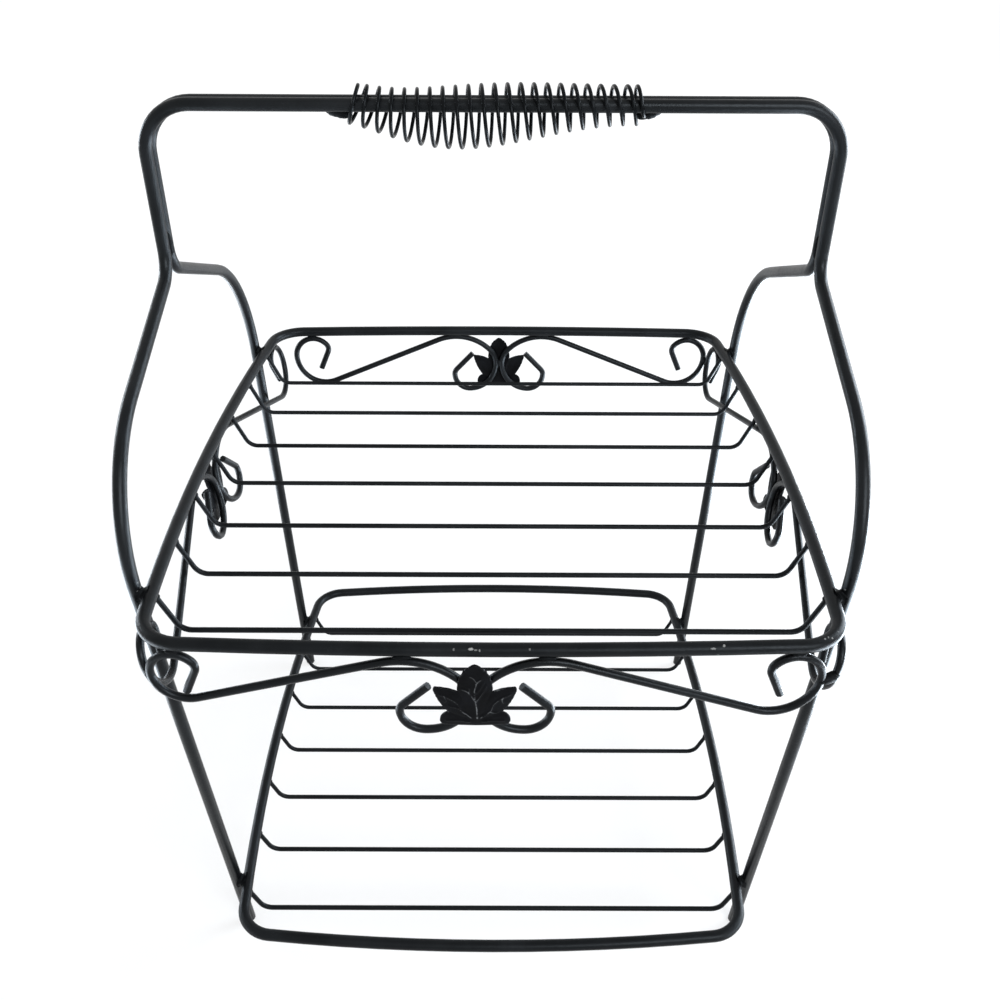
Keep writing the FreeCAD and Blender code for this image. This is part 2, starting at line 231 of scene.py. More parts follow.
def chip_and_glint_mask(graph, chips_and_glints):
    """Small ragged pale specks of bare metal, which by the welds are painted glints as well; each has its
    place and reaches in millimetres, and how pale it is.
    """
    ragged = graph.math("MULTIPLY", graph.noise(SPECK_EDGE_SCALE, detail=2.0), SPECK_RAGGEDNESS)
    mask = None
    for place, reach, paleness in chips_and_glints:
        distance = graph.distance([value * MM for value in place], [value * MM for value in reach])
        speck = graph.ramp(graph.math("ADD", distance, ragged), *SPECK_EDGE_RANGE, to_value=paleness)
        mask = speck if mask is None else graph.math("MAXIMUM", mask, speck)
    return mask


def black_paint(name, grain_scale, grain_depth, roughness, specular, chips_and_glints=()):
    """Satin black paint with a fine grain, uneven sheen, dusty patches and a few pale specks of bare metal,
    some of them painted glints.
    """
    material, graph, shader = paint_material(name)
    cloud = graph.noise(CLOUD_SCALE, detail=4.0)
    grain = graph.noise(grain_scale, detail=2.0, roughness=0.6)
    colour = graph.mix(graph.ramp(cloud, *TONE_RANGE), DARK_TONE, LIGHT_TONE)
    patches = graph.ramp(graph.noise(DUST_PATCH_SCALE), *DUST_PATCH_RANGE)
    dust = graph.math("MULTIPLY", graph.ramp(grain, *DUST_GRAIN_RANGE), patches)
    colour = graph.mix(graph.math("MULTIPLY", dust, DUST_SHARE), colour, DUST)
    uneven = graph.math("ADD", graph.math("MULTIPLY", cloud, SHEEN_CLOUD_SHARE),
                        graph.math("MULTIPLY", grain, SHEEN_GRAIN_SHARE))
    rough = graph.ramp(uneven, *SHEEN_RANGE, *roughness)
    if chips_and_glints:
        # Pale specks mixed into the colour: bare metal, and by the leg welds painted glints as well.
        bare_and_glint = chip_and_glint_mask(graph, chips_and_glints)
        colour = graph.mix(bare_and_glint, colour, CHIP_AND_GLINT)
        rough = graph.math("ADD", rough, graph.math("MULTIPLY", bare_and_glint, SPECK_ROUGHENING))
    graph.link(colour, shader.inputs["Base Color"])
    graph.link(rough, shader.inputs["Roughness"])
    shader.inputs["Specular IOR Level"].default_value = specular
    shader.inputs["Specular Tint"].default_value = SHEEN_TINT
    relief = graph.bump(graph.noise(RELIEF_SCALE), RELIEF_STRENGTH, RELIEF_DEPTH)
    graph.link(graph.bump(grain, GRAIN_STRENGTH, grain_depth, relief), shader.inputs["Normal"])
    return material


# The leaves' paint, in the same terms, and where it is worn through.
LEAF_DARK_TONE = (0.001, 0.0012, 0.0017)
LEAF_LIGHT_TONE = (0.0034, 0.0038, 0.005)
LEAF_BARE = (0.13, 0.135, 0.14)
LEAF_CLOUD_SCALE = 120.0
LEAF_TONE_RANGE = (0.35, 0.7)
VEIN_BREAK_SCALE = 420.0
VEIN_BREAK_RANGE = (0.36, 0.54)
VEIN_WEAR_RANGE = (0.3, 0.85)
SCUFF_SCALE = 260.0
SCUFF_RANGE = (0.52, 0.68)
EDGE_WEAR_RANGE = (0.4, 0.95)
EDGE_WEAR_SHARE = 0.6
LEAF_SHEEN_RANGE = (0.3, 1.0)
LEAF_ROUGHNESS = (0.4, 0.7)
LEAF_WEAR_ROUGHENING = 0.4
LEAF_SPECULAR = 0.06
HAMMER_SCALE = 300.0
HAMMER_STRENGTH = 0.3
HAMMER_DEPTH = 0.0003
LEAF_GRAIN_SCALE = 2200.0
LEAF_GRAIN_STRENGTH = 0.5
LEAF_GRAIN_DEPTH = 0.00005


def leaf_paint():
    """The leaf's thin black paint, worn pale along the pressed veins and the cut edge."""
    material, graph, shader = paint_material("leaf_paint")
    cloud = graph.noise(LEAF_CLOUD_SCALE, detail=4.0)
    grain = graph.noise(LEAF_GRAIN_SCALE, detail=2.0, roughness=0.6)
    colour = graph.mix(graph.ramp(cloud, *LEAF_TONE_RANGE), LEAF_DARK_TONE, LEAF_LIGHT_TONE)
    broken = graph.ramp(graph.noise(VEIN_BREAK_SCALE), *VEIN_BREAK_RANGE)
    worn = graph.math("MULTIPLY", graph.ramp(graph.attribute("vein"), *VEIN_WEAR_RANGE), broken)
    scuffed = graph.ramp(graph.noise(SCUFF_SCALE), *SCUFF_RANGE)
    edge = graph.math("MULTIPLY", graph.ramp(graph.attribute("rim"), *EDGE_WEAR_RANGE), scuffed)
    worn = graph.math("MAXIMUM", worn, graph.math("MULTIPLY", edge, EDGE_WEAR_SHARE))
    colour = graph.mix(worn, colour, LEAF_BARE)
    uneven = graph.math("ADD", cloud, graph.math("MULTIPLY", worn, LEAF_WEAR_ROUGHENING))
    graph.link(colour, shader.inputs["Base Color"])
    graph.link(graph.ramp(uneven, *LEAF_SHEEN_RANGE, *LEAF_ROUGHNESS), shader.inputs["Roughness"])
    shader.inputs["Specular IOR Level"].default_value = LEAF_SPECULAR
    hammered = graph.bump(graph.noise(HAMMER_SCALE, detail=2.0), HAMMER_STRENGTH, HAMMER_DEPTH)
    fine = graph.bump(grain, LEAF_GRAIN_STRENGTH, LEAF_GRAIN_DEPTH, hammered)
    graph.link(fine, shader.inputs["Normal"])
    return material


# Specks of lost paint on the rim: place and reaches in millimetres, and how bare each is.
RIM_CHIPS = [
    ((-6.5, -132.1, 208.7), (0.95, 0.9, 0.4), 0.8),
    ((-4.9, -132.2, 208.5), (0.6, 0.8, 0.25), 0.4),
    ((-3.6, -132.3, 208.4), (0.35, 0.8, 0.45), 0.5),
    ((-12.1, -132.1, 208.6), (0.4, 0.8, 0.4), 0.35),
    ((12.8, -132.0, 208.7), (0.4, 0.8, 0.35), 0.3),
    ((73.2, -131.2, 208.5), (1.1, 0.8, 0.3), 0.5),
    ((76.8, -130.4, 209.1), (0.5, 0.8, 0.4), 0.6),
    ((75.0, -131.4, 206.1), (0.4, 0.8, 0.4), 0.25),
    ((107.1, -126.4, 209.2), (0.45, 0.4, 0.5), 0.3),
    ((110.9, -127.0, 209.3), (0.35, 0.4, 0.5), 0.45),
    ((112.2, -126.2, 209.2), (0.25, 0.6, 0.5), 0.4),
    ((113.6, -126.3, 209.0), (0.5, 0.3, 0.5), 0.5),
    ((116.4, -123.2, 208.9), (0.3, 0.5, 0.5), 0.35),
]
# Pale specks by the upper leg welds, in the same terms: painted glints of the welds as well as bare metal.
WELD_GLINTS_AND_CHIPS = [
    ((-123.4, -101.8, 210.4), (0.7, 0.8, 0.6), 0.3),
    ((-124.2, -103.4, 209.4), (0.6, 0.7, 0.6), 0.35),
    ((-123.6, -102.6, 212.8), (0.4, 0.5, 0.4), 0.3),
    ((124.0, -103.3, 211.4), (0.5, 0.5, 0.4), 0.3),
]

# Each paint's grain scale and depth, least and most roughness, specular level and chips, which on the frame
# are also painted glints. The bars that keep their solids find their paint by a word in their names.
BAR_PAINTS = {
    "frame": black_paint("frame_paint", 1700.0, 0.0001, (0.26, 0.4), 0.16, WELD_GLINTS_AND_CHIPS),
    "rim": black_paint("rim_paint", 1700.0, 0.00011, (0.32, 0.46), 0.13, RIM_CHIPS),
    "grid": black_paint("grid_paint", 2300.0, 0.00005, (0.34, 0.48), 0.11),
    "scroll": black_paint("scroll_paint", 1900.0, 0.00009, (0.24, 0.38), 0.14),
}
COIL_PAINT = black_paint("coil_paint", 3000.0, 0.00003, (0.18, 0.32), 0.08)
WELD_PAINT = black_paint("weld_paint", 1500.0, 0.00002, (0.48, 0.6), 0.07)
LEAF_PAINT = leaf_paint()


# The rods and wires that keep their solids

MERGE_DISTANCE = 0.00002
SHARP_ANGLE = math.radians(72)


def smooth_group():
    """Joins the facets of a bar and shades it round, with its cut ends kept crisp."""
    group = bpy.data.node_groups.new("round_bars", "GeometryNodeTree")
    group.interface.new_socket("Geometry", in_out="INPUT", socket_type="NodeSocketGeometry")
    group.interface.new_socket("Geometry", in_out="OUTPUT", socket_type="NodeSocketGeometry")
    start = group.nodes.new("NodeGroupInput")
    merge = group.nodes.new("GeometryNodeMergeByDistance")
    merge.inputs["Distance"].default_value = MERGE_DISTANCE
    faces = group.nodes.new("GeometryNodeSetShadeSmooth")
    edges = group.nodes.new("GeometryNodeSetShadeSmooth")
    edges.domain = "EDGE"
    edges.inputs["Shade Smooth"].default_value = False
    angle = group.nodes.new("GeometryNodeInputMeshEdgeAngle")
    sharp = group.nodes.new("FunctionNodeCompare")
    sharp.operation = "GREATER_THAN"
    sharp.inputs[1].default_value = SHARP_ANGLE
    end = group.nodes.new("NodeGroupOutput")
    link = group.links.new
    link(start.outputs[0], merge.inputs["Geometry"])
    link(merge.outputs[0], faces.inputs["Geometry"])
    link(faces.outputs[0], edges.inputs["Geometry"])
    link(angle.outputs["Unsigned Angle"], sharp.inputs[0])
    link(sharp.outputs[0], edges.inputs["Selection"])
    link(edges.outputs[0], end.inputs[0])
    return group


ROUND_BARS = smooth_group()


def dress(name, material):
    """Gives a bar its paint and its round shading."""
    piece = nodes[name]
    for place in piece.material_slots:
        place.link = "OBJECT"
        place.material = material
    modifier = piece.modifiers.new("round", "NODES")
    modifier.node_group = ROUND_BARS


for node in nodes:
    for word, bar_paint in BAR_PAINTS.items():
        if word in node:
            dress(node, bar_paint)


# Helpers for the scene's own pieces

def add_piece(name, points, faces, material):
    """A piece on the body from points in millimetres."""
    mesh = bpy.data.meshes.new(name)
    mesh.from_pydata([Vector(point) * MM for point in points], [], faces)
    mesh.materials.append(material)
    mesh.polygons.foreach_set("use_smooth", [True] * len(mesh.polygons))
    mesh.update()
    piece = bpy.data.objects.new(name, mesh)
    scene.collection.objects.link(piece)
    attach(piece, "root")
    return piece


def tube_rings(path, radii, sides):
    """Points of rings round a path, carried along it without twist."""
    angles = [2 * math.pi * step / sides for step in range(sides)]
    rings = []
    across = None
    for number, centre in enumerate(path):
        ahead = path[min(number + 1, len(path) - 1)]
        behind = path[max(number - 1, 0)]
        along = (ahead - behind).normalized()
        if across is None:
            across = along.orthogonal()
        across = (across - along * across.dot(along)).normalized()
        other = along.cross(across)
        rings.append([centre + (across * math.cos(angle) + other * math.sin(angle)) * radii[number]
                      for angle in angles])
    return rings


def tube_faces(rings, first=0):
    """Faces between the rings and over both ends, counted from the first point's number."""
    sides = len(rings[0])
    faces = []
    for ring in range(len(rings) - 1):
        low = first + ring * sides
        for step in range(sides):
            after = (step + 1) % sides
            faces.append((low + step, low + after, low + sides + after, low + sides + step))
    last = first + (len(rings) - 1) * sides
    faces.append(tuple(first + step for step in reversed(range(sides))))
    faces.append(tuple(last + step for step in range(sides)))
    return faces


# The coil round the handle bar, on the part's formula

COIL_TURNS = 21
COIL_HALF_LENGTH = 50.6
COIL_SHIFT = 0.8
COIL_END_PITCH = 2.2
COIL_END_RADIUS = 6.4
COIL_MIDDLE_RADIUS = 10.5
COIL_END_SAG = 0.3
COIL_MIDDLE_SAG = 4.8
COIL_LEFT_LEAN = 3.15
COIL_RIGHT_LEAN = 0.75
FULLEST_TURN_SHARE = 0.78
LOWEST_TURN_SHARE = 0.61
COIL_GAP = 0.2
COIL_TUCK_HEIGHT = HANDLE_HEIGHT - ROD_RADIUS - COIL_RADIUS - COIL_GAP
COIL_STEPS = 36
COIL_END_STEPS = COIL_STEPS * 3 // 4
COIL_SIDES = 12
BEND_STEPS = 10
BEND_PULL = 1.2


def coil_point(turn):
    """A place on the wire's middle line, in turns from the start of the open turns."""
    full_turn = min(max(turn, 0), COIL_TURNS)
    share = full_turn / COIL_TURNS
    bulge = math.sin(math.pi * share ** FULLEST_TURN_SHARE) ** 2
    droop = math.sin(math.pi * share ** LOWEST_TURN_SHARE) ** 2
    radius = COIL_END_RADIUS + (COIL_MIDDLE_RADIUS - COIL_END_RADIUS) * bulge
    sag = COIL_END_SAG + (COIL_MIDDLE_SAG - COIL_END_SAG) * droop
    lean = COIL_LEFT_LEAN * (1 - share) ** 3 - COIL_RIGHT_LEAN
    station = COIL_SHIFT + (2 * share - 1) * COIL_HALF_LENGTH + (turn - full_turn) * COIL_END_PITCH
    angle = math.pi * (2 * turn + 1)
    return Vector((station + lean * math.cos(angle),
                   MIDDLE_DEPTH - radius * math.sin(angle),
                   HANDLE_HEIGHT - sag + radius * math.cos(angle)))


def tail_bend(start, start_heading, end, end_heading):
    """A smooth bend between two places, without its two ends."""
    pull = (end - start).length * BEND_PULL
    points = []
    for step in range(1, BEND_STEPS):
        share = step / BEND_STEPS
        rest = 1 - share
        points.append(start * (rest ** 2 * (1 + 2 * share)) + start_heading * (pull * share * rest ** 2)
                      + end * (share ** 2 * (1 + 2 * rest)) - end_heading * (pull * rest * share ** 2))
    return points


def coil():
    """One wire whose tails tuck under the handle rods: left from behind, right from the front."""
    inward = Vector((0, 1, 0))
    last_step = COIL_TURNS * COIL_STEPS + COIL_END_STEPS
    turns = [coil_point(step / COIL_STEPS) for step in range(-COIL_END_STEPS, last_step + 1)]
    left_tail = Vector((coil_point(-1).x, MIDDLE_DEPTH, COIL_TUCK_HEIGHT))
    right_tail = Vector((coil_point(COIL_TURNS + 1).x, MIDDLE_DEPTH, COIL_TUCK_HEIGHT))
    entry = left_tail + inward * (ROD_SPACING / 2)
    leaving = right_tail - inward * (ROD_SPACING / 2)
    setting_out = (turns[1] - turns[0]).normalized()
    coming_in = (turns[-1] - turns[-2]).normalized()
    path = [left_tail, entry] + tail_bend(entry, inward, turns[0], setting_out) + turns
    path += tail_bend(turns[-1], coming_in, leaving, inward) + [leaving, right_tail]
    rings = tube_rings(path, [COIL_RADIUS] * len(path), COIL_SIDES)
    points = [point for ring in rings for point in ring]
    piece = add_piece("coil_wire", points, tube_faces(rings), COIL_PAINT)
    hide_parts("coil_grip")


coil()


# The four leaves

LEAF_WIDTH = 28.0
LEAF_HEIGHT = 27.5
LEAF_SHEET = 0.6
LEAF_CROWN = 0.45
CROWN_REACH = 1.6
LEAF_GRID = 0.42
EDGE_STEP = 0.3
VEIN_STEP = 0.3
VEIN_HEIGHT = 0.32
VEIN_HALF_WIDTH = 0.3
VEIN_WEAR_FADE = 0.45
CREASE_STEP = 0.5
CREASE_DEPTH = 0.2
CREASE_HALF_WIDTH = 0.6
DENT_DEPTH = 0.07
DENT_SIZE = 2.2
EDGE_WEAR_REACH = 0.35
TOOTH_PITCH = 2.3
TOOTH_DRIFT = 0.8
TOOTH_DRIFT_SIZE = 4.0
TOOTH_SHARPNESS = 0.7
TOOTH_RAGGEDNESS = 0.4
TOOTH_RAGGED_RATE = 1.3
LOBE_TOOTH_DEPTHS = (0.34, 0.14, 0.0)

# The triangles wanted from Blender's triangulation, and how near two points count as one.
INSIDE_ONLY = 1
SAME_POINT = 0.001

# Where the noise of the dents, the ragged teeth and each half's teeth is taken from.
DENT_SLICE = 3.0
RAGGED_SLICE = 7.0
HALF_SLICE = 20.0

# Half of the edge from tip to foot, a list for each lobe; three pairs in a row make an arc.
LEAF_LOBE_SHARES = [
    [(0.0, 0.0), (0.2, 0.065), (0.36, 0.2), (0.42, 0.31), (0.42, 0.433)],
    [(0.42, 0.433), (0.7, 0.378), (0.96, 0.36), (1.0, 0.385), (0.985, 0.44), (0.9, 0.56), (0.65, 0.767)],
    [(0.65, 0.767), (0.79, 0.81), (0.86, 0.89), (0.83, 0.955), (0.7, 0.985), (0.35, 0.995), (0.0, 1.0)],
]

# Veins from their root outward, each with how far its paint is worn.
VEIN_SHARES = [
    (1.0, [(0.05, 0.86), (0.04, 0.7), (0.0, 0.54), (-0.01, 0.4), (0.04, 0.28), (-0.03, 0.2), (-0.11, 0.17)]),
    (0.9, [(0.03, 0.29), (0.09, 0.25), (0.15, 0.22)]),
    (1.0, [(0.0, 0.57), (-0.08, 0.49), (-0.17, 0.42), (-0.31, 0.38)]),
    (0.7, [(-0.15, 0.44), (-0.13, 0.39), (-0.14, 0.35)]),
    (0.6, [(0.01, 0.6), (0.12, 0.5), (0.22, 0.4), (0.28, 0.31)]),
    (0.4, [(0.02, 0.44), (0.12, 0.36), (0.2, 0.27)]),
    (0.75, [(-0.1, 0.85), (-0.34, 0.73), (-0.42, 0.62), (-0.62, 0.53), (-0.84, 0.47)]),
    (0.6, [(-0.74, 0.49), (-0.7, 0.55), (-0.72, 0.58)]),
    (0.55, [(-0.36, 0.69), (-0.52, 0.67), (-0.62, 0.65)]),
    (0.75, [(0.14, 0.85), (0.37, 0.74), (0.45, 0.63), (0.63, 0.53), (0.86, 0.46)]),
    (0.8, [(0.68, 0.51), (0.65, 0.56), (0.68, 0.6)]),
    (0.7, [(0.37, 0.75), (0.46, 0.77), (0.54, 0.76)]),
    (0.3, [(-0.14, 0.92), (-0.42, 0.9), (-0.7, 0.9)]),
    (0.3, [(0.18, 0.92), (0.42, 0.9), (0.7, 0.9)]),
]

# Creases from the notches between the lobes in towards the foot.
CREASE_SHARES = [
    [(0.41, 0.44), (0.28, 0.6), (0.2, 0.8)],
    [(0.64, 0.77), (0.42, 0.82), (0.24, 0.86)],
]


def leaf_place(share):
    """A place on the flat leaf from shares of its half width and its height, counted down from the tip."""
    return Vector((share[0] * LEAF_WIDTH / 2, share[1] * LEAF_HEIGHT, 0))


def arc_points(start, middle, end, step):
    """Points on the arc through three places, without its end."""
    one = middle - start
    other = end - start
    area = one.x * other.y - one.y * other.x
    lift = one.length_squared * other.y - other.length_squared * one.y
    shift = other.length_squared * one.x - one.length_squared * other.x
    centre = start + Vector((lift, shift, 0)) / (2 * area)
    spoke = start - centre
    ending = end - centre
    turn = math.atan2(spoke.x * ending.y - spoke.y * ending.x, spoke.dot(ending))
    if turn * area < 0:
        turn += math.copysign(2 * math.pi, area)
    count = max(2, round(abs(turn) * spoke.length / step))
    return [centre + Matrix.Rotation(turn * number / count, 3, "Z") @ spoke for number in range(count)]


def curve_points(shares, step):
    """Points along a smooth curve through the places."""
    places = [leaf_place(share) for share in shares]
    places = [places[0] * 2 - places[1]] + places + [places[-1] * 2 - places[-2]]
    points = []
    for before, start, end, after in zip(places, places[1:], places[2:], places[3:]):
        count = max(2, round((end - start).length / step))
        for number in range(count):
            share = number / count
            points.append((start * 2 + (end - before) * share
                           + (before * 2 - start * 5 + end * 4 - after) * share ** 2
                           + (start * 3 - before - end * 3 + after) * share ** 3) / 2)
    return points + [places[-2]]


def toothed(points, depth, slice_at):
    """The edge with small uneven teeth, which fade out at both ends of the lobe."""
    result = []
    run = 0.0
    for number, point in enumerate(points):
        ahead = points[min(number + 1, len(points) - 1)]
        behind = points[max(number - 1, 0)]
        along = (ahead - behind).normalized()
        outward = Vector((along.y, -along.x, 0))
        run += (point - behind).length
        fade = math.sqrt(max(0.0, math.sin(math.pi * number / (len(points) - 1))))
        drift = noise.noise(Vector((run / TOOTH_DRIFT_SIZE, slice_at, 0)))
        wave = run / TOOTH_PITCH + TOOTH_DRIFT * drift
        tooth = 1 - abs(2 * (wave % 1.0) - 1) ** TOOTH_SHARPNESS
        ragged = noise.noise(Vector((run * TOOTH_RAGGED_RATE, slice_at + RAGGED_SLICE, 0)))
        result.append(point + outward * (depth * fade * (tooth - 0.5 + TOOTH_RAGGEDNESS * ragged)))
    return result


def leaf_edge():
    """The whole outline, from the tip down the right half and up the left."""
    edge = []
    for side in (1, -1):
        half = []
        for number, lobe in enumerate(LEAF_LOBE_SHARES):
            places = [leaf_place(share) for share in lobe]
            points = []
            for first in range(0, len(places) - 1, 2):
                points += arc_points(*places[first:first + 3], EDGE_STEP)
            half += toothed(points, LOBE_TOOTH_DEPTHS[number], HALF_SLICE * side + number)
        half.append(places[-1])
        if side == 1:
            edge += half[:-1]
        else:
            edge += [Vector((-point.x, point.y, 0)) for point in half[:0:-1]]
    return edge


def inside(point, edge):
    """Whether a point of the flat leaf lies within its edge."""
    within = False
    for start, end in zip(edge, edge[1:] + edge[:1]):
        if (start.y > point.y) != (end.y > point.y):
            if point.x < start.x + (point.y - start.y) / (end.y - start.y) * (end.x - start.x):
                within = not within
    return within


def nearness(points):
    """A tree that finds the nearest of the points, its number and its distance."""
    tree = KDTree(len(points))
    for number, point in enumerate(points):
        tree.insert(point, number)
    tree.balance()
    return tree


class LeafShape:
    """The flat pattern of a leaf: its triangles, and the height of the sheet at each point."""

    def __init__(self):
        edge = leaf_edge()
        self.edge_tree = nearness(edge)
        veins = []
        self.vein_wear = []
        for wear, shares in VEIN_SHARES:
            line = curve_points(shares, VEIN_STEP)
            veins += line
            fades = [VEIN_WEAR_FADE * number / len(line) for number in range(len(line))]
            self.vein_wear += [wear * (1 - fade) for fade in fades]
        self.vein_tree = nearness(veins)
        creases = []
        for side in (1, -1):
            for shares in CREASE_SHARES:
                creases += curve_points([(side * share, drop) for share, drop in shares], CREASE_STEP)
        self.crease_tree = nearness(creases)
        self.points, self.faces = self.triangles(edge, veins)

    def triangles(self, edge, veins):
        """Triangles over the edge, the veins and an even grid between them."""
        clear = LEAF_GRID / 2
        fill = [point for point in veins if inside(point, edge) and self.from_edge(point) > clear]
        for row in range(round(LEAF_HEIGHT / LEAF_GRID) + 1):
            for column in range(round(LEAF_WIDTH / LEAF_GRID) + 1):
                across = (column + row % 2 / 2) * LEAF_GRID - LEAF_WIDTH / 2
                point = Vector((across, row * LEAF_GRID, 0))
                if self.from_vein(point) < clear or not inside(point, edge):
                    continue
                if self.from_edge(point) > clear:
                    fill.append(point)
        flat = [point.to_2d() for point in edge + fill]
        loop = [(number, (number + 1) % len(edge)) for number in range(len(edge))]
        found = delaunay_2d_cdt(flat, loop, [], INSIDE_ONLY, SAME_POINT)
        return [point.to_3d() for point in found[0]], [tuple(face) for face in found[2]]

    def from_edge(self, point):
        return self.edge_tree.find(point)[2]

    def from_vein(self, point):
        return self.vein_tree.find(point)[2]

    def heights(self, point):
        """Heights of the back and the front of the sheet over the loops that it is set on."""
        crown = LEAF_CROWN * (1 - math.exp(-self.from_edge(point) / CROWN_REACH))
        crease = CREASE_DEPTH * math.exp(-(self.crease_tree.find(point)[2] / CREASE_HALF_WIDTH) ** 2)
        dent = DENT_DEPTH * noise.noise(Vector((point.x / DENT_SIZE, point.y / DENT_SIZE, DENT_SLICE)))
        back = max(0.0, crown - crease + dent)
        return back, back + LEAF_SHEET + VEIN_HEIGHT * self.vein(point)

    def vein(self, point):
        """1 on a vein's ridge, falling to 0 beside it."""
        return math.exp(-(self.from_vein(point) / VEIN_HALF_WIDTH) ** 2)

    def wear(self, point):
        return self.vein(point) * self.vein_wear[self.vein_tree.find(point)[1]]

    def rim(self, point):
        """1 on the cut edge, falling to 0 inside it."""
        return math.exp(-self.from_edge(point) / EDGE_WEAR_REACH)


def boundary(faces):
    """Edges that belong to one face only, in that face's direction."""
    edges = {(start, end) for face in faces for start, end in zip(face, face[1:] + face[:1])}
    return [pair for pair in edges if pair[::-1] not in edges]


def leaf(name, shape):
    """One leaf set on the loops of its panel, with the wear of its paint."""
    outward, along, lean = PANELS[name]
    slope = math.radians(lean)
    rise = UP * math.cos(slope) + outward * math.sin(slope)
    face = outward * math.cos(slope) - UP * math.sin(slope)
    low, high = box_mm("leaf_" + name)
    innermost = min(low.dot(outward), high.dot(outward))
    tip = (along * (low + high).dot(along) / 2 + UP * high.z
           + outward * (innermost + LEAF_HEIGHT * math.sin(slope)))
    flat = [tip + along * point.x - rise * point.y for point in shape.points]
    backs, fronts = zip(*(shape.heights(point) for point in shape.points))
    points = [place + face * height for heights in (fronts, backs) for place, height in zip(flat, heights)]
    count = len(flat)
    turned = along.cross(-rise).dot(face) < 0
    front = [corners[::-1] if turned else corners for corners in shape.faces]
    back = [tuple(number + count for number in reversed(corners)) for corners in front]
    wall = [(end, start, start + count, end + count) for start, end in sorted(boundary(front))]
    piece = add_piece("leaf_sheet_" + name, points, front + back + wall, LEAF_PAINT)
    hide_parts("leaf_" + name)
    wear = [shape.wear(point) for point in shape.points] + [0.0] * count
    rim = [shape.rim(point) for point in shape.points] * 2
    for attribute, values in (("vein", wear), ("rim", rim)):
        piece.data.attributes.new(attribute, "FLOAT", "POINT").data.foreach_set("value", values)


leaf_shape = LeafShape()
for panel in PANELS:
    leaf(panel, leaf_shape)


# Welds

# A bead's tip, ripple, swell and lumps are shares, and their rates are per millimetre.
BEAD_STEPS = 14
BEAD_SIDES = 14
BEAD_TIP = 0.03
RIPPLE = 0.05
RIPPLE_RATE = 3.4
SWELL = 0.15
SWELL_RATE = 0.5
LUMP = 0.15
LUMP_RATE = 0.35

# The fillet where a leg leans on a rim: its least and greatest half width, how deep it sinks into the rods,
# how ragged it is and how far it wraps them, as a share of their radius.
SADDLE_LEVELS = 8
SADDLE_SIDES = 28
SADDLE_WAIST = 2.35
SADDLE_REACH = 3.2
SADDLE_SINK = 0.1
SADDLE_RAGGEDNESS = 0.25
SADDLE_RAGGED_SIZE = 1.1
SADDLE_WRAP = 0.97


def bulge_at(offset):
    """How far a heavy rod's surface stands from its middle, at an offset to the side."""
    return math.sqrt(ROD_RADIUS ** 2 - min(abs(offset), SADDLE_WRAP * ROD_RADIUS) ** 2)


class Beads:
    """A group of welds that share one mesh."""

    def __init__(self):
        self.points = []
        self.faces = []

    def add(self, centre, along, length, radius):
        """A lumpy bead with tapered ends."""
        along = along.normalized()
        path = [centre + along * (length * (step / BEAD_STEPS - 0.5)) for step in range(BEAD_STEPS + 1)]
        radii = []
        for step, place in enumerate(path):
            share = 2 * step / BEAD_STEPS - 1
            ripple = RIPPLE * math.sin(place.dot(along) * RIPPLE_RATE)
            swell = SWELL * noise.noise(place * SWELL_RATE)
            radii.append(radius * math.sqrt(max(BEAD_TIP, 1 - share ** 2)) * (1 + ripple + swell))
        rings = tube_rings(path, radii, BEAD_SIDES)
        self.faces += tube_faces(rings, len(self.points))
        self.points += [point + noise.noise_vector(point * LUMP_RATE) * (LUMP * radius)
                        for ring in rings for point in ring]

    def pair(self, touch, beside, along, size):
        """A bead on either side of a line where two bars touch."""
        for way in (-1, 1):
            self.add(touch + beside * (way * BEAD_SIDESTEP), along, *size)

    def saddle(self, touch, outward, lean):
        """A hollow fillet between a level rod that runs front to back and an upright one outside it."""
        rings = []
        for level in range(SADDLE_LEVELS + 1):
            share = level / SADDLE_LEVELS
            reach = SADDLE_WAIST + (SADDLE_REACH - SADDLE_WAIST) * (2 * share - 1) ** 2
            ring = []
            for side in range(SADDLE_SIDES):
                angle = 2 * math.pi * side / SADDLE_SIDES
                spoke = Vector((0, math.cos(angle), math.sin(angle)))
                ragged = noise.noise(touch + spoke * SADDLE_RAGGED_SIZE)
                spoke *= reach * (1 + SADDLE_RAGGEDNESS * ragged)
                level_rod = bulge_at(spoke.z) - ROD_SPACING / 2 - SADDLE_SINK
                upright_rod = ROD_SPACING / 2 - bulge_at(spoke.y - lean * spoke.z) + SADDLE_SINK
                ring.append(touch + spoke + outward * (level_rod + (upright_rod - level_rod) * share))
            rings.append(ring)
        self.faces += tube_faces(rings, len(self.points))
        self.points += [point for ring in rings for point in ring]

    def finish(self, name):
        add_piece(name, self.points, self.faces, WELD_PAINT)


# The rims, repeated from the part; bows are the radii of the bowed sides and ends.
UPPER_RIM = {
    "height": 207.0, "half_width": 124.7, "half_depth": 130.7, "side_bow": 1250.0, "end_bow": 2350.0,
    "leg_depth": 102.0, "grid_margin": 29.9,
}
LOWER_RIM = {
    "height": 32.0, "half_width": 115.5, "half_depth": 124.3, "side_bow": 1130.0, "end_bow": 960.0,
    "leg_depth": 91.5, "grid_margin": 28.0,
}
LEG_LEAN = (UPPER_RIM["leg_depth"] - LOWER_RIM["leg_depth"]) / (UPPER_RIM["height"] - LOWER_RIM["height"])

# How far from a rod's middle the thinner wires meet it, and how far to each side of that a pair of beads is.
TOUCH_GAP = 0.1
TOUCH_REACH = ROD_RADIUS + TOUCH_GAP
BEAD_SIDESTEP = 1.0

